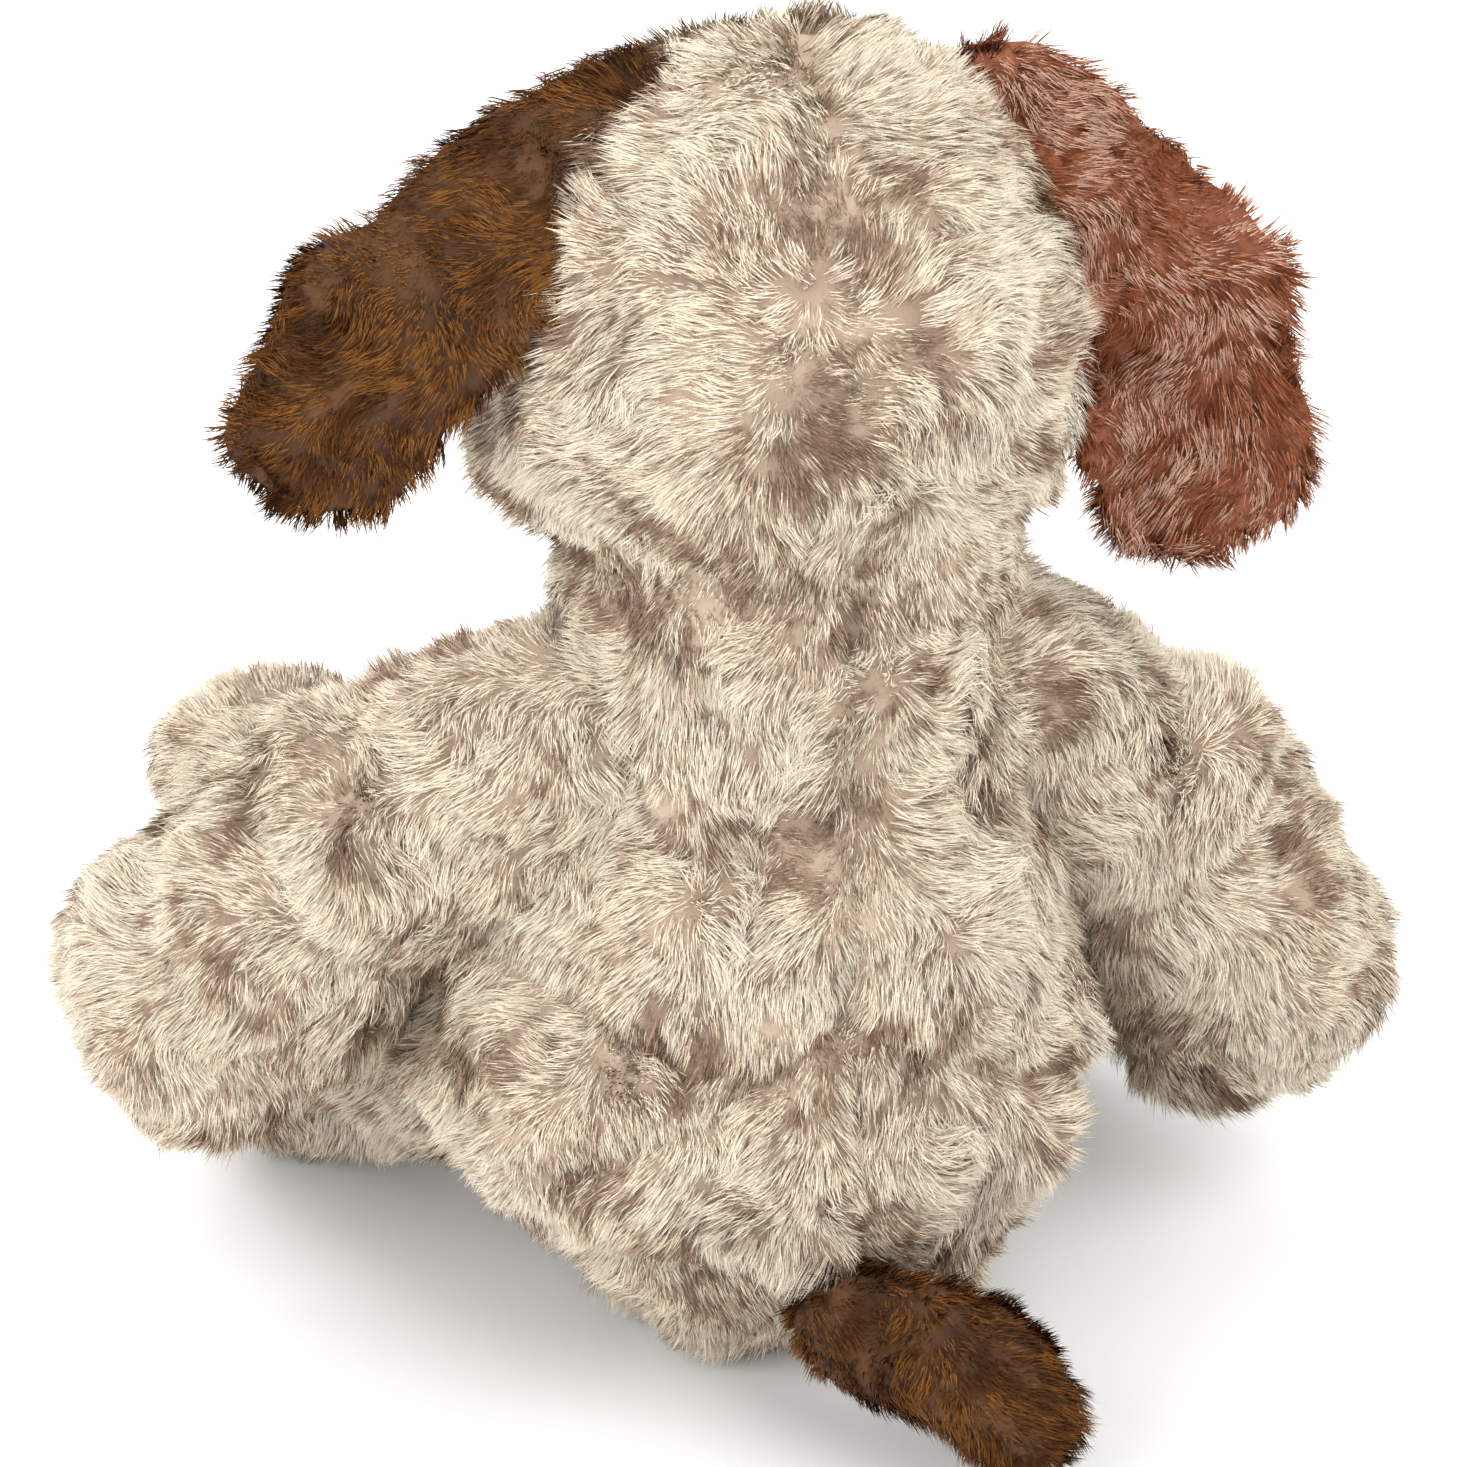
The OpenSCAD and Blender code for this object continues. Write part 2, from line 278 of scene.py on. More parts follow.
def pile(name, cover, body, coat, comb, seed, keep=None, short=None, blend=None, seam=None):
    """Covers a form with tufts. comb(points, normals) is the way the pile lies, keep(points) where it grows,
    short(points) shortens it, seam(points) parts it along a seam and darkens the tufts there, partly as the
    brown undercoat showing and partly as painted shade in the crease, and patches of noise choose where the
    darker tips show."""
    rng = np.random.default_rng(seed)
    tufts = int(area_of(cover.data) * TUFTS_PER_M2 * PILE_DENSITY)
    p, n = surface_samples(cover.data, tufts, rng)
    if keep is not None:
        chosen = keep(p, n)
        p, n = p[chosen], n[chosen]
    flow = comb(p, n)
    flow = flow - (flow * n).sum(1, keepdims=True) * n
    calm = np.exp(-(np.linalg.norm(flow, axis=1) / 0.45) ** 2)
    t = unit(flow)
    swirl = Noise(seed + 1, 42 * MM)(p) * 0.55 + Noise(seed + 2, 15 * MM)(p) * 0.22
    s = np.cross(n, t)
    t = unit(t * np.cos(swirl)[:, None] + s * np.sin(swirl)[:, None])
    s = np.cross(n, t)
    lift = 0.60 + 0.22 * Noise(seed + 3, 22 * MM)(p) + rng.normal(0, 0.14, len(p))
    lift = np.clip(lift, 0.2, 1.3) + 0.8 * calm
    long = 1 + 0.16 * Noise(seed + 4, 30 * MM)(p) + rng.normal(0, 0.12, len(p))
    long = coat.length * np.clip(long, 0.55, 1.35)
    if short is not None:
        long = long * short(p)
    undercoat = rng.random(len(p)) < UNDERCOAT_SHARE
    long = np.where(undercoat, UNDERCOAT_LENGTH * long, long)
    lift = np.where(undercoat, lift + 0.6, lift)
    seam_part_and_shade = seam(p) if seam is not None else np.zeros(len(p))
    long = long * (1 - SEAM_CROP * seam_part_and_shade)
    way = unit(t + n * lift[:, None])
    tuft_tip = way * long[:, None]

    # every tuft's hairs start around its middle and close towards its tip
    k = HAIRS_PER_TUFT
    m = len(p) * k
    rep = lambda q: np.repeat(q, k, axis=0)
    P, N, T, S, W, L, tip_at = rep(p), rep(n), rep(t), rep(s), rep(way), rep(long), rep(tuft_tip)
    r = TUFT_R * np.sqrt(rng.random(m))
    angle = rng.uniform(0, 2 * math.pi, m)
    side = (np.cos(angle) * r)[:, None] * T + (np.sin(angle) * r)[:, None] * S
    root = P + side - N * ROOT_DEPTH
    close = rng.uniform(0.6, 1.15, m)[:, None]
    own = rng.normal(0, 0.07, (m, 3)) * L[:, None]
    tip = P + side * close + tip_at * rng.uniform(0.72, 1.12, m)[:, None] + own
    mid = root * 0.5 + tip * 0.5 + N * (0.10 * L)[:, None] + rng.normal(0, 0.03, (m, 3)) * L[:, None]
    along = unit(tip - root)
    flat = unit(np.cross(along, N) + 1e-9)
    turn = rng.normal(0, 0.6, m)
    across = unit(flat * np.cos(turn)[:, None] + np.cross(along, flat) * np.sin(turn)[:, None])
    width = HAIR_W * rng.uniform(0.7, 1.3, m)[:, None] / 2
    verts = np.stack([root - across * width, root + across * width,
                      mid - across * width * 0.9, mid + across * width * 0.9, tip], axis=1)
    verts[:, :, 2] = np.maximum(verts[:, :, 2], FLOOR_GAP)     # pressed flat where it meets the floor
    # wind each hair so that its face looks outwards
    out = (np.cross(verts[:, 1] - verts[:, 0], verts[:, 2] - verts[:, 0]) * N).sum(1) < 0
    verts[out] = verts[out][:, [1, 0, 3, 2, 4]]
    shade = unit(N + 0.35 * along + rng.normal(0, 0.28, (m, 3)))
    root_shade = unit(N + rng.normal(0, 0.1, (m, 3)))

    # colour: dark patches drift over the coat and single tufts break them up
    patch = Noise(seed + 5, coat.patch_size)(p) * 0.62 + Noise(seed + 6, coat.patch_size / 3)(p) * 0.42
    patch = patch + Noise(seed + 8, 6 * MM)(p) * 0.42 + rng.normal(0, 0.38, len(p))
    # painted shade: along seams, folds and creases the tufts take darker tips and roots, partly as the brown
    # undercoat showing and partly as painted shade in the crease
    patch = patch + 0.5 * seam_part_and_shade
    level = rep((patch - coat.patch_share)[:, None])[:, 0] + rng.normal(0, coat.mix, m)
    tip_of = np.searchsorted(np.array(coat.weights), level)
    root_of = np.clip(((level + 0.7) / 1.6 * len(coat.roots)).astype(int), 0, len(coat.roots) - 1)

    parts = max(1, math.ceil(m / MAX_HAIRS))
    for part in range(parts):
        rows = slice(part * m // parts, (part + 1) * m // parts)
        mesh = hair_mesh(name, verts[rows], root_shade[rows], shade[rows], tip_of[rows], root_of[rows],
                         coat)
        obj = piece(f"{name}_{part + 1}" if parts > 1 else name, mesh)
        if blend:
            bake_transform(obj)
        else:
            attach(obj, body)


def hair_mesh(name, verts, root_shade, shade, tip_of, root_of, coat):
    """One mesh of tapered hairs, each a root quad and a tip triangle on five points, shaded by given normals."""
    m = len(verts)
    mesh = bpy.data.meshes.new(name)
    mesh.vertices.add(5 * m)
    mesh.vertices.foreach_set("co", verts.reshape(-1).astype(np.float32))
    first = np.arange(m)[:, None] * 5
    mesh.loops.add(7 * m)
    mesh.loops.foreach_set("vertex_index", (first + np.array([0, 1, 3, 2, 2, 3, 4])).ravel().astype(np.int32))
    mesh.polygons.add(2 * m)
    starts = np.arange(m)[:, None] * 7 + np.array([0, 4])
    mesh.polygons.foreach_set("loop_start", starts.ravel().astype(np.int32))
    slots = np.stack([len(coat.tips) + root_of, tip_of], axis=1).ravel().astype(np.int32)
    mesh.polygons.foreach_set("material_index", slots)
    for mat in coat.tips + coat.roots:
        mesh.materials.append(mat)
    mesh.polygons.foreach_set("use_smooth", np.ones(2 * m, bool))
    mesh.update(calc_edges=True)
    normals = np.repeat(root_shade[:, None], 5, axis=1)
    normals[:, 2:] = shade[:, None]
    mesh.normals_split_custom_set_from_vertices(normals.reshape(-1, 3).tolist())
    return mesh


# ---- materials of covers and hard pieces ----

def cover_material(name, deep, pale, scale):
    """Backing cloth seen between the tufts: a knit with darker and paler patches."""
    mat = bpy.data.materials.new(name)
    mat.use_nodes = True
    tree = mat.node_tree
    shader = tree.nodes["Principled BSDF"]
    place = tree.nodes.new("ShaderNodeTexCoord")
    patches = tree.nodes.new("ShaderNodeTexNoise")
    patches.inputs["Scale"].default_value = scale
    patches.inputs["Detail"].default_value = 6
    ramp = tree.nodes.new("ShaderNodeValToRGB")
    ramp.color_ramp.elements[0].position = 0.35
    ramp.color_ramp.elements[0].color = (*deep, 1)
    ramp.color_ramp.elements[1].position = 0.68
    ramp.color_ramp.elements[1].color = (*pale, 1)
    knit = tree.nodes.new("ShaderNodeTexVoronoi")
    knit.inputs["Scale"].default_value = 900
    bump = tree.nodes.new("ShaderNodeBump")
    bump.inputs["Strength"].default_value = 0.6
    bump.inputs["Distance"].default_value = 0.0006
    link = tree.links.new
    link(place.outputs["Object"], patches.inputs["Vector"])
    link(place.outputs["Object"], knit.inputs["Vector"])
    link(patches.outputs["Fac"], ramp.inputs["Fac"])
    link(ramp.outputs["Color"], shader.inputs["Base Color"])
    link(knit.outputs["Distance"], bump.inputs["Height"])
    link(bump.outputs["Normal"], shader.inputs["Normal"])
    shader.inputs["Roughness"].default_value = 0.9
    return mat


def plastic_material(name, colour, roughness):
    """Moulded plastic with a faint grain."""
    mat = cover_material(name, colour, [min(1, c * 1.25 + 0.004) for c in colour], 60)
    shader = mat.node_tree.nodes["Principled BSDF"]
    shader.inputs["Roughness"].default_value = roughness
    for node in mat.node_tree.nodes:
        if node.type == "BUMP":
            node.inputs["Strength"].default_value = 0.05
    return mat


STUFFING = cover_material("polyester_fibre", (0.78, 0.77, 0.73), (0.9, 0.89, 0.86), 70)
CREAM_BACKING = cover_material("cream_backing", (0.25, 0.175, 0.125), (0.47, 0.36, 0.27), 45)
CARAMEL_BACKING = cover_material("caramel_backing", (0.05, 0.018, 0.005), (0.12, 0.05, 0.015), 60)
RUSSET_BACKING = cover_material("russet_backing", (0.16, 0.045, 0.02), (0.31, 0.105, 0.05), 60)
EYE_PLASTIC = plastic_material("eye_plastic", (0.012, 0.008, 0.006), 0.12)
WASHER_PLASTIC = plastic_material("washer_plastic", (0.55, 0.55, 0.52), 0.5)

CREAM = Coat(
    "cream", "cream_fur", 7.6 * MM,
    tips=[(0.83, 0.74, 0.59), (0.79, 0.685, 0.53), (0.73, 0.605, 0.455), (0.57, 0.43, 0.315),
          (0.36, 0.24, 0.165), (0.19, 0.115, 0.072)],
    roots=[(0.68, 0.56, 0.43), (0.57, 0.44, 0.33), (0.39, 0.27, 0.195)],
    weights=[-0.15, 0.42, 0.78, 1.04, 1.30], patch_size=52 * MM, patch_share=0.36)
CARAMEL = Coat(
    "caramel", "caramel_fur", 6.6 * MM,
    tips=[(0.21, 0.082, 0.020), (0.155, 0.057, 0.013), (0.105, 0.038, 0.009), (0.065, 0.023, 0.006)],
    roots=[(0.105, 0.041, 0.012), (0.06, 0.022, 0.007)],
    weights=[-0.45, 0.2, 0.75], patch_size=40 * MM, patch_share=0.0, mix=0.3)
RUSSET = Coat(
    "russet", "russet_fur", 7.4 * MM,
    tips=[(0.56, 0.34, 0.255), (0.42, 0.195, 0.125), (0.32, 0.11, 0.052), (0.25, 0.072, 0.028)],
    roots=[(0.26, 0.088, 0.042), (0.18, 0.052, 0.022)],
    weights=[-0.40, 0.15, 0.70], patch_size=36 * MM, patch_share=0.05, mix=0.5)


def mm(*v):
    return np.array(v, float) * MM


def dress(obj, material, body, nodes):
    """Makes obj the padded cover that stands for the panels in nodes."""
    obj.data.materials.clear()
    obj.data.materials.append(material)
    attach(obj, body)
    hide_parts(*nodes)


def near(distance, width):
    """1 on a line and 0 beyond its width, with a smooth fall."""
    return np.exp(-(distance / width) ** 2)


# ---- torso and neck, one cover over both ----

# radii of the rounded ends in the CAD model
PAW_R, HEEL_R, TOE_R, TAIL_R = 34 * MM, 31 * MM, 27 * MM, 19 * MM
LEFT, RIGHT = 1, -1
SIDE_NAME = {LEFT: "left", RIGHT: "right"}
REST_Z = 1.2 * MM            # the cover's flat underside stands this far off the floor
PILE_FROM_Z = REST_Z + 0.2 * MM

belly_low, belly_high = spread("belly_panel", "rump_left", "rump_right")
HIP_R = (belly_high[0] - belly_low[0]) / 2
HIP = np.array([0, (belly_low[1] + belly_high[1]) / 2, 68 * MM])
TORSO_TURN = ("torso", "neck", (0, NECK[1], NECK[2] - 14 * MM), (0, NECK[1], NECK[2] + 16 * MM))


def sit_flat(obj):
    co = points_of(obj.data)
    co[:, 2] = np.maximum(co[:, 2], REST_Z)
    set_points(obj.data, co)


def off_floor(p, n):
    """Pile grows everywhere but on the flat underside."""
    return p[:, 2] > PILE_FROM_Z


def torso_seams(p):
    """Depth of the spine seam, the rump seam below it and the soft folds of the waist and neck."""
    back = p[:, 1] > HIP[1] + 20 * MM
    spine = near(p[:, 0] + 1.5 * MM * np.sin(p[:, 2] / (22 * MM)), 3.4 * MM) * 4.2 * MM * back
    rump_z = 118 * MM - 0.65 * np.abs(p[:, 0])
    rump = near(p[:, 2] - rump_z, 4 * MM) * 4.6 * MM * (p[:, 1] > HIP[1])
    fold = near(p[:, 2] - (96 * MM + 0.35 * p[:, 0]), 4.5 * MM) * 3.2 * MM * back * (p[:, 0] > 14 * MM)
    side = near(p[:, 1] - (HIP[1] + 0.18 * (p[:, 2] - HIP[2])), 3.5 * MM) * 2.2 * MM
    return spine + rump + fold + side


# Where the torso's pile parts and takes darker tufts: over its seams and folds and in the crease under the head.
# The darkening is partly the brown undercoat showing and partly painted shade in the creases.
def torso_seam_part_and_shade(p):
    neck_crease_part_and_shade = near(np.linalg.norm(p - SKULL, axis=1) - 69 * MM, 6 * MM) * (p[:, 1] > SKULL[1])
    return np.clip(torso_seams(p) / (3.6 * MM) + neck_crease_part_and_shade, 0, 1)


def away_from(p, spots):
    """Pile that lies away from each spot: (place, reach, strength)."""
    flow = np.zeros_like(p)
    for place, reach, strength in spots:
        d = p - place
        far = np.linalg.norm(d, axis=1, keepdims=True) / reach
        flow += unit(d) * np.exp(-far ** 2) * (1 - np.exp(-(far / 0.35) ** 2)) * strength
    return flow


TORSO_WHORLS = [(mm(-8, 78, 196), 20 * MM, 2.2), (mm(38, 62, 142), 20 * MM, 2.2),
                (mm(-26, 74, 128), 16 * MM, 1.8), (mm(58, 52, 100), 18 * MM, 1.6),
                (mm(12, 84, 62), 18 * MM, 1.5)]


def torso_comb(p, n):
    down = np.tile([0.0, 0.0, -1.0], (len(p), 1))
    down[:, 0] = 0.45 * np.tanh(p[:, 0] / (25 * MM))
    return down + away_from(p, TORSO_WHORLS)


def gathered_below(obj):
    """The seat narrows to its base, and the pellets sag towards the tail's side."""
    co = points_of(obj.data)
    low = np.clip((HIP[2] + 4 * MM - co[:, 2]) / HIP[2], 0, 1.3)
    for axis, sag in ((0, -13 * MM), (1, 6 * MM)):
        co[:, axis] = HIP[axis] + (co[:, axis] - HIP[axis]) * (1 - 0.36 * low) + sag * low
    set_points(obj.data, co)


def make_torso():
    up = NECK - HIP
    line = [HIP + mm(4, 0, -3), HIP + up * 0.30, HIP + up * 0.62, HIP + up * 0.92, HIP + up * 1.16]
    radii = [HIP_R - 4 * MM, 74 * MM, 58.5 * MM, 53 * MM, 50 * MM]
    form = stuffed("torso_cover", row_of_balls(line, radii, 8), smooth=10)
    gathered_below(form)
    dented(form, torso_seams, 1.5 * MM, seed=11)
    sit_flat(form)
    filling_of(form, "torso_filling", "torso", ["torso_stuffing", "bean_bag", "neck_stuffing"], TORSO_TURN)
    form.data.materials.clear()
    form.data.materials.append(CREAM_BACKING)
    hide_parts("torso_back_left", "torso_back_right", "rump_left", "rump_right", "belly_panel",
                "neck_left", "neck_right")
    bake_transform(form)
    pile("torso_pile", form, "torso", CREAM, torso_comb, 100, keep=off_floor,
         blend=TORSO_TURN, seam=torso_seam_part_and_shade)


# ---- head, in a frame that tilts with it ----

EAR_HINGE = {side: joint_place(f"ear_{SIDE_NAME[side]}_flap") for side in (LEFT, RIGHT)}
HEAD_X = unit(EAR_HINGE[LEFT] - EAR_HINGE[RIGHT])
HEAD_Y = np.array([0.0, 1.0, 0.0])
HEAD_Z = np.cross(HEAD_X, HEAD_Y)


def on_head(x, y, z):
    return SKULL + (x * HEAD_X + y * HEAD_Y + z * HEAD_Z) * MM


def in_head(p):
    return np.stack([(p - SKULL) @ HEAD_X, (p - SKULL) @ HEAD_Y, (p - SKULL) @ HEAD_Z], axis=1)


def head_seams(p):
    q = in_head(p) / MM
    crown = near(q[:, 2] - (39 - 0.10 * np.abs(q[:, 0])), 3.2) * 2.8 * (q[:, 1] > 0)
    middle_back = near(q[:, 0] - 9, 3.0) * 2.4 * (q[:, 1] > 20) * (q[:, 2] < 36)
    brow = near(q[:, 1] + 44 + 0.3 * q[:, 2], 7) * 2.0 * (q[:, 2] > 2) * (np.abs(q[:, 0]) < 22)
    mouth = near(q[:, 2] + 49, 2.6) * 3.0 * (q[:, 1] < -52)
    return (crown + middle_back + brow + mouth) * MM


HEAD_WHORLS = [(on_head(22, 58, 2), 20 * MM, 3.2), (on_head(16, 52, 26), 16 * MM, 2.6),
               (on_head(-18, 58, -26), 18 * MM, 2.2)]
NOSE_AT = middle("nose")


def head_comb(p, n):
    q = in_head(p) / MM
    side = np.tanh((q[:, 0] - 8) / 14)[:, None]
    crown = (q[:, 2] > 40)[:, None]
    flow = side * HEAD_X * np.where(crown, 1.3, 0.75) - HEAD_Z * np.where(crown, 0.15, 0.7)
    face = (q[:, 1] < -12)[:, None]
    backwards = unit(p - NOSE_AT)
    return np.where(face, backwards * 1.2, flow) + away_from(p, HEAD_WHORLS) * ~face


def face_short(p):
    """The pile is cropped on the muzzle and around the eyes."""
    q = in_head(p) / MM
    muzzle = np.clip((-q[:, 1] - 30) / 40, 0, 1)
    scale = 1 - 0.5 * muzzle
    for eye in ("eye_left", "eye_right"):
        far = np.linalg.norm(p - middle(eye), axis=1)
        scale = scale * (1 - 0.75 * near(far, 17 * MM))
    far = np.linalg.norm(p - NOSE_AT, axis=1)
    return scale * (1 - 0.7 * near(far, 16 * MM))


def make_head():
    balls = row_of_balls([on_head(0, 1, -4), on_head(0, 0, 10)], [65 * MM, 56 * MM], 6)
    balls += row_of_balls([on_head(0, -22, -10), on_head(0, -60, -25), on_head(0, -86, -36)],
                          [44 * MM, 36 * MM, 31.5 * MM], 6)
    for side in (LEFT, RIGHT):
        balls += [(on_head(27 * side, -16, -18), 42 * MM), (on_head(18 * side, -28, 13), 31 * MM),
                  (on_head(12 * side, -84, -42), 22 * MM), (on_head(30 * side, 4, -16), 38 * MM)]
    balls.append((on_head(0, -74, -52), 17 * MM))
    form = stuffed("head_cover", balls, smooth=8)
    dented(form, head_seams, 1.2 * MM, seed=21)
    filling_of(form, "head_filling", "head", ["head_stuffing"])
    dress(form, CREAM_BACKING, "head", ["head_back_left", "head_back_right", "crown_panel", "face_left",
                                        "face_right", "muzzle_top", "chin_panel"])
    bare = [(middle("eye_left"), 8.5 * MM), (middle("eye_right"), 8.5 * MM), (NOSE_AT, 12 * MM)]

    def grows(p, n):
        clear = np.ones(len(p), bool)
        for place, radius in bare:
            clear &= np.linalg.norm(p - place, axis=1) > radius
        return clear

    # The head's pile parts over its seams and in the crease at the back of the neck and takes darker tufts
    # there, partly the brown undercoat showing and partly painted shade in the creases.
    def head_seam_part_and_shade(p):
        neck = near(np.linalg.norm((p - NECK) * [1, 1, 0], axis=1) - 50 * MM, 7 * MM)
        neck = neck * (in_head(p)[:, 2] < -30 * MM) * (p[:, 1] > SKULL[1])
        return np.clip(head_seams(p) / (3.4 * MM) + neck, 0, 1)

    pile("head_pile", form, "head", CREAM, head_comb, 200, keep=grows, short=face_short, seam=head_seam_part_and_shade)


# ---- ears: curved two-sided flaps ----

def smooth_line(points, count):
    """A Catmull-Rom curve through the points, evenly spread in its own measure."""
    pts = [2 * points[0] - points[1], *points, 2 * points[-1] - points[-2]]
    found = []
    for u in np.linspace(0, len(points) - 1, count):
        i = min(int(u), len(points) - 2)
        f = u - i
        a, b, c, d = pts[i:i + 4]
        found.append(0.5 * (2 * b + (c - a) * f + (2 * a - 5 * b + 4 * c - d) * f * f
                            + (3 * b - a - 3 * c + d) * f ** 3))
    return np.array(found)


def ear_form(name, side, line, half_widths, lean_back):
    """A closed flap along line, in the head's frame. Its width turns from front-to-back at the root
    towards the lower edge, by lean_back degrees, and its edges curl under a little."""
    rings, around = 44, 44
    centre = smooth_line([on_head(side * x, y, z) for x, y, z in line], rings)
    width = smooth_line([np.array([w, 0, 0]) for w in half_widths], rings)[:, 0] * MM
    along = unit(np.gradient(centre, axis=0))
    verts = []
    for i in range(rings):
        u = i / (rings - 1)
        under = unit(np.cross(HEAD_Y, along[i]) * side)
        turn = math.radians(lean_back * min(1, 0.35 + u))
        across = unit(HEAD_Y * math.cos(turn) + under * math.sin(turn))
        across = unit(across - along[i] * (across @ along[i]))
        upward = np.cross(across, along[i]) * side
        round_tip = math.sqrt(max(0, 1 - max(0, (u - 0.80) / 0.20) ** 2))
        thick = (5.2 * MM) * (0.35 + 0.65 * round_tip)
        for j in range(around):
            a = 2 * math.pi * j / around
            c, s = math.cos(a), math.sin(a)
            verts.append(centre[i] + across * width[i] * max(round_tip, 0.03) * c
                         + upward * (thick * max(round_tip, 0.03) * s * abs(s) ** 0.4 - 5 * MM * c * c))
    faces = [[i * around + j, i * around + (j + 1) % around, (i + 1) * around + (j + 1) % around,
              (i + 1) * around + j] for i in range(rings - 1) for j in range(around)]
    faces += [list(range(around))[::-1], [(rings - 1) * around + j for j in range(around)]]
    obj = piece(name, mesh_of(name, verts, faces))
    bm = bmesh.new()
    bm.from_mesh(obj.data)
    bmesh.ops.recalc_face_normals(bm, faces=bm.faces)
    bm.to_mesh(obj.data)
    bm.free()
    smooth_shaded(obj.data)
    return dented(obj, lambda p: 0 * p[:, 0], 1.4 * MM, seed=31 + side), centre


def make_ear(side, line, half_widths, lean_back, coat, backing, seed):
    name = SIDE_NAME[side]
    body = f"ear_{name}"
    form, centre = ear_form(f"{body}_cover", side, line, half_widths, lean_back)
    dress(form, backing, body, [f"{body}_outer", f"{body}_lining"])
    way = unit(np.gradient(centre, axis=0))

    def comb(p, n):
        nearest = np.argmin(((p[:, None] - centre[None]) ** 2).sum(2), axis=1)
        off = p - centre[nearest]
        return way[nearest] + 0.35 * unit(off)

    pile(f"{body}_pile", form, body, coat, comb, seed)


# ---- arms, legs and tail ----

def along_comb(start, end, spots=()):
    way = unit(np.array(end) - np.array(start))

    def comb(p, n):
        return np.tile(way, (len(p), 1)) + away_from(p, spots)
    return comb


def make_arm(side):
    body = f"arm_{SIDE_NAME[side]}"
    low, high = spread(f"{body}_outer", f"{body}_inner")
    root = joint_place(f"shoulder_{SIDE_NAME[side]}")
    paw = np.array([high[0] - PAW_R if side > 0 else low[0] + PAW_R, low[1] + PAW_R, low[2] + PAW_R])
    elbow = root * 0.45 + paw * 0.55 + mm(side * 5, 2, 10)
    paw = paw + (mm(2, 0, 0) if side > 0 else mm(-7, 0, -7))
    balls = row_of_balls([root - mm(side * 6, 0, -2), elbow, paw],
                         [27 * MM, 33 * MM, 36.5 * MM], 8)
    tip = paw + unit(paw - elbow) * 6 * MM
    balls.append((tip, 33 * MM))
    form = stuffed(f"{body}_cover", balls, smooth=8)
    bend = root * 0.45 + paw * 0.55 + mm(0, 0, 6)

    def creases(p):
        inner = near((p - bend) @ unit(paw - root), 4 * MM) * 3.0 * MM
        seam = near((p - root) @ unit(np.cross(paw - root, [0, 1, 0])), 3 * MM) * 1.6 * MM
        return inner * (p[:, 1] > bend[1] - 12 * MM) + seam

    dented(form, creases, 1.4 * MM, seed=41 + side)
    filling_of(form, f"{body}_filling", body, [f"{body}_stuffing"])
    dress(form, CREAM_BACKING, body, [f"{body}_outer", f"{body}_inner"])
    spot = elbow + mm(side * 6, 22, 16)
    # The pile parts over the elbow crease and the seam and takes darker tufts there, partly the brown undercoat
    # showing and partly painted shade in the crease.
    pile(f"{body}_pile", form, body, CREAM, along_comb(root, paw, [(spot, 20 * MM, 2.6)]), 400 + 20 * side,
         seam=lambda p: np.clip(creases(p) / (3.4 * MM), 0, 1))


def make_leg(side):
    body = f"leg_{SIDE_NAME[side]}"
    sole = f"foot_{SIDE_NAME[side]}_sole"
    low, high = spread(f"{body}_outer", f"{body}_inner", sole)
    root = joint_place(f"hip_{SIDE_NAME[side]}")
    heel_x = high[0] - HEEL_R if side > 0 else low[0] + HEEL_R
    heel = np.array([heel_x, low[1] + HEEL_R - 3 * MM, low[2] + HEEL_R])
    toe = np.array([heel[0] + side * 5 * MM, heel[1], high[2] - TOE_R + 3 * MM])
    balls = row_of_balls([root, heel], [28 * MM, 27 * MM], 5)
    balls += row_of_balls([heel, heel * 0.5 + toe * 0.5, toe], [27.5 * MM, 29 * MM, 28.5 * MM], 6)
    form = stuffed(f"{body}_cover", balls, smooth=8, squeeze=(1.04, 0.94, 1))
    flat_y = low[1] + 3 * MM

    def seams(p):
        rim = near(p[:, 1] - (flat_y + 7 * MM), 2.4 * MM) * 1.8 * MM
        return rim * (p[:, 1] < heel[1])

    dented(form, seams, 1.2 * MM, seed=51 + side)
    co = points_of(form.data)
    co[:, 1] = np.maximum(co[:, 1], flat_y)
    set_points(form.data, co)
    sit_flat(form)
    filling_of(form, f"{body}_filling", body, [f"{body}_stuffing"])
    dress(form, CREAM_BACKING, body, [f"{body}_outer", f"{body}_inner", sole])

    def comb(p, n):
        up = np.tile([0.3 * side, 0.0, -1.0], (len(p), 1))
        up[:, 1] = -0.8 * (p[:, 1] < heel[1] + 5 * MM)
        return up + away_from(p, [(toe + mm(0, 18, -8), 22 * MM, 2.0)])

    def short(p):
        return np.where(p[:, 1] < flat_y + 2 * MM, 0.45, 0.9)

    pile(f"{body}_pile", form, body, CREAM, comb, 500 + 20 * side, short=short,
         keep=off_floor)


def make_tail():
    low, high = spread("tail_upper", "tail_lower")
    root = joint_place("tail_wag")
    tip = np.array([low[0] + TAIL_R, high[1] - TAIL_R, low[2] + TAIL_R])
    bend = root * 0.5 + tip * 0.5 + mm(0, 0, 3)
    form = stuffed("tail_cover", row_of_balls([root, bend, tip], [14 * MM, 16 * MM, 15.5 * MM], 8),
                   voxel=2.4 * MM, smooth=6)
    dented(form, lambda p: 0 * p[:, 0], 0.9 * MM, seed=61)
    filling_of(form, "tail_filling", "tail", ["tail_stuffing"])
    dress(form, CARAMEL_BACKING, "tail", ["tail_upper", "tail_lower"])
    pile("tail_pile", form, "tail", CARAMEL, along_comb(root, tip), 600)


make_torso()
make_head()
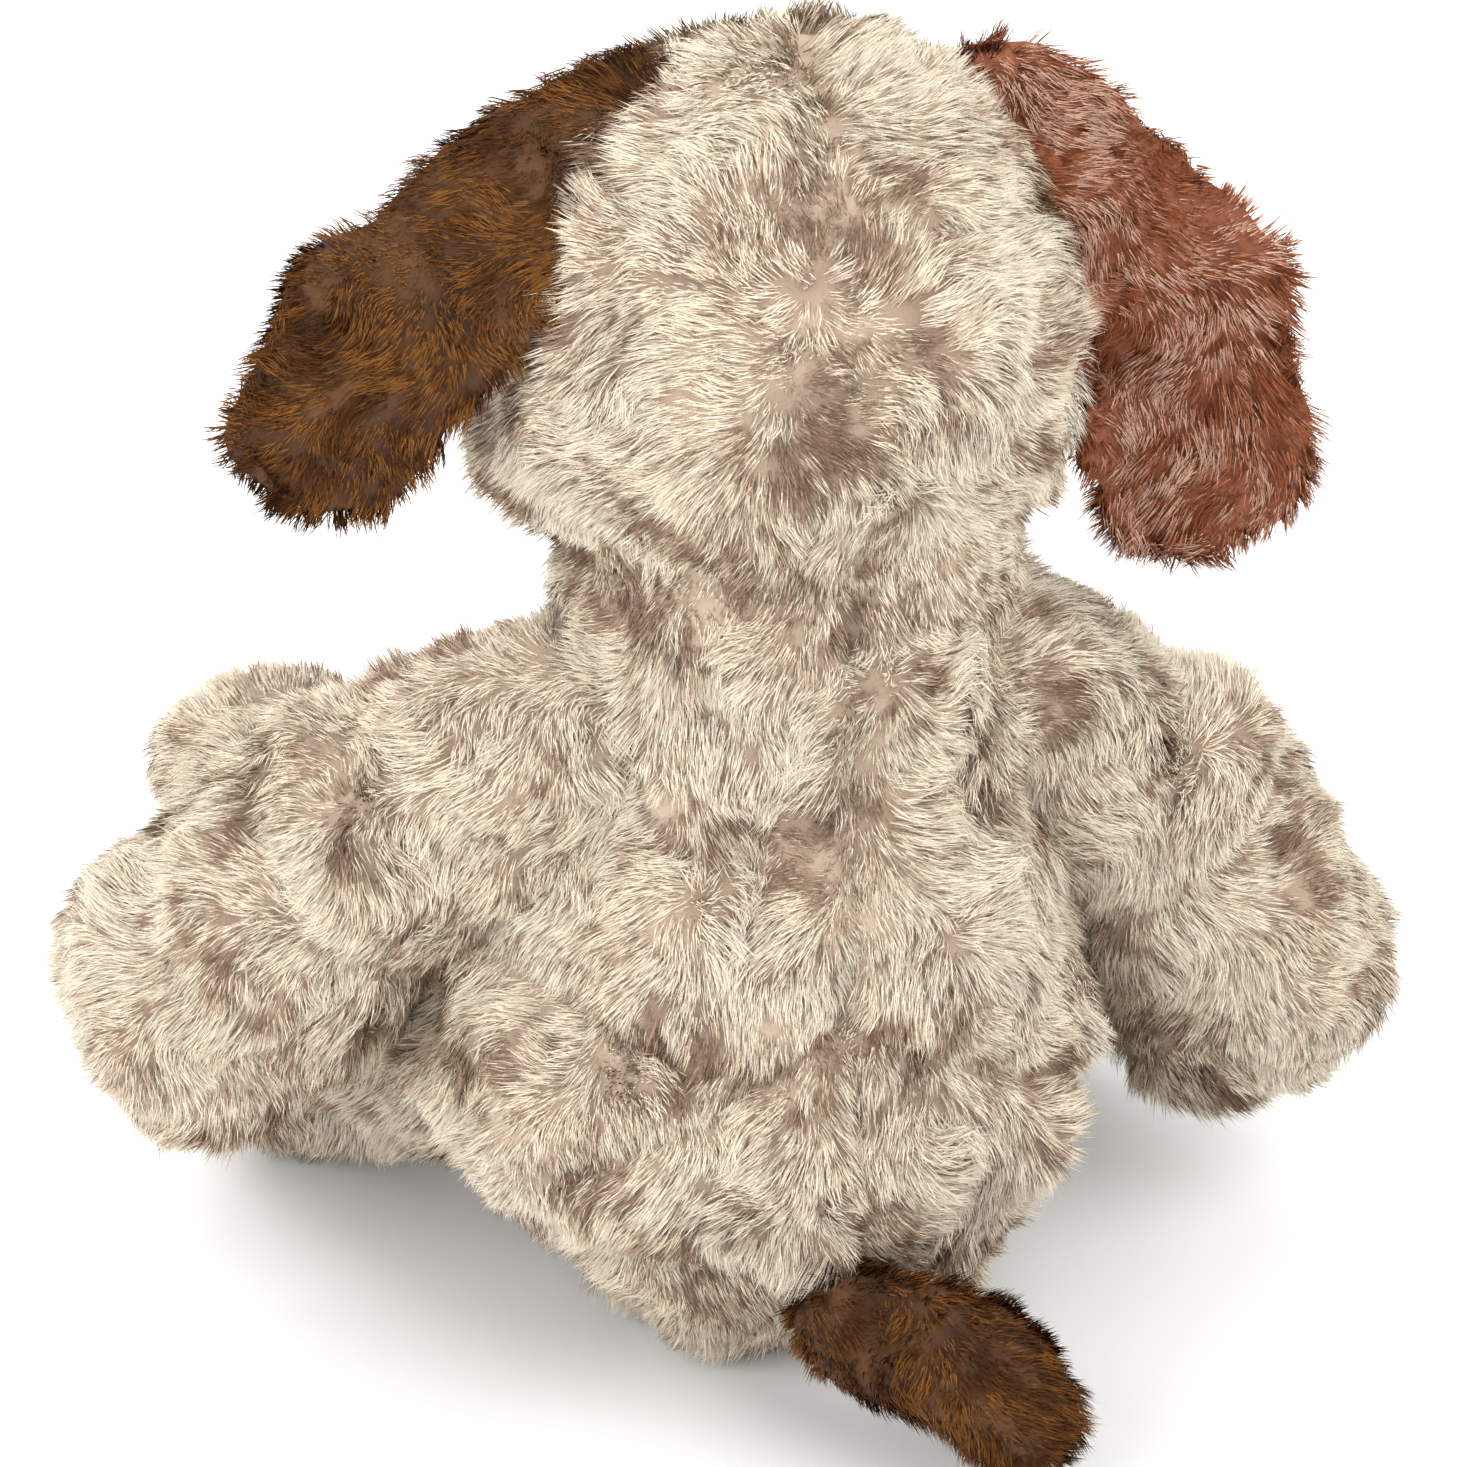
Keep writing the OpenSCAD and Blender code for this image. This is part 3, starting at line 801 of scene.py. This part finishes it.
# each ear: the line of its middle in millimetres in the head's frame, its half widths and its lean in degrees
make_ear(LEFT, [(26, -6, 46), (42, -3, 40), (65, 2, 24), (90, 6, 0), (109, 9, -24), (118, 10, -41)],
         [17, 20, 21, 22, 22, 19], 66, CARAMEL, CARAMEL_BACKING, 310)
make_ear(RIGHT, [(34, -6, 46), (46, -3, 42), (64, 1, 30), (84, 5, 11), (98, 8, -12), (102, 9, -36),
                 (98, 9, -55)],
         [19, 23, 25, 26, 27, 27, 21], 98, RUSSET, RUSSET_BACKING, 330)
for side in (LEFT, RIGHT):
    make_arm(side)
    make_leg(side)
make_tail()

for name in ("eye_left", "eye_right", "nose", "eye_washer_left", "eye_washer_right", "nose_washer"):
    frame["nodes"][name].data.materials.clear()
    frame["nodes"][name].data.materials.append(WASHER_PLASTIC if "washer" in name else EYE_PLASTIC)


# ---- floor, light and camera ----

FLOOR_HALF = 6
LIGHT_AIM = Vector((0, 0, 0.16))


def make_floor():
    corners = [(-FLOOR_HALF, -FLOOR_HALF, 0), (FLOOR_HALF, -FLOOR_HALF, 0),
               (FLOOR_HALF, FLOOR_HALF, 0), (-FLOOR_HALF, FLOOR_HALF, 0)]
    mesh = mesh_of("floor", corners, [(0, 1, 2, 3)])
    floor = piece("floor", mesh)
    mat = bpy.data.materials.new("floor_white")
    mat.use_nodes = True
    shader = mat.node_tree.nodes["Principled BSDF"]
    shader.inputs["Base Color"].default_value = (0.88, 0.88, 0.88, 1)
    shader.inputs["Roughness"].default_value = 0.9
    floor.data.materials.append(mat)


def soft_light(name, place, size, power):
    light = bpy.data.lights.new(name, "AREA")
    light.size, light.energy = size, power
    obj = bpy.data.objects.new(name, light)
    obj.location = place
    obj.rotation_euler = (LIGHT_AIM - Vector(place)).to_track_quat("-Z", "Y").to_euler()
    bpy.context.scene.collection.objects.link(obj)


def make_camera(azimuth, elevation, distance, aim, lens):
    a, e = math.radians(azimuth), math.radians(elevation)
    back = Vector((math.sin(a) * math.cos(e), -math.cos(a) * math.cos(e), math.sin(e)))
    data = bpy.data.cameras.new("camera")
    data.lens, data.sensor_width = lens, 36
    obj = bpy.data.objects.new("camera", data)
    obj.location = Vector(aim) + back * distance
    obj.rotation_euler = (-back).to_track_quat("-Z", "Y").to_euler()
    bpy.context.scene.collection.objects.link(obj)
    bpy.context.scene.camera = obj


make_floor()
soft_light("key", (-0.7, 1.3, 1.5), 1.6, 27)
soft_light("fill", (1.4, 0.9, 0.9), 1.4, 20)
soft_light("front", (0.2, -1.5, 1.2), 1.5, 24)
world = bpy.data.worlds.new("studio")
world.use_nodes = True
world.node_tree.nodes["Background"].inputs["Color"].default_value = (1, 1, 1, 1)
world.node_tree.nodes["Background"].inputs["Strength"].default_value = 0.95
bpy.context.scene.world = world
bpy.context.scene.view_settings.view_transform = "Standard"

# the photograph's angle, in degrees
make_camera(azimuth=162, elevation=27, distance=1.5, aim=(-0.0065, -0.036, 0.1365), lens=148)
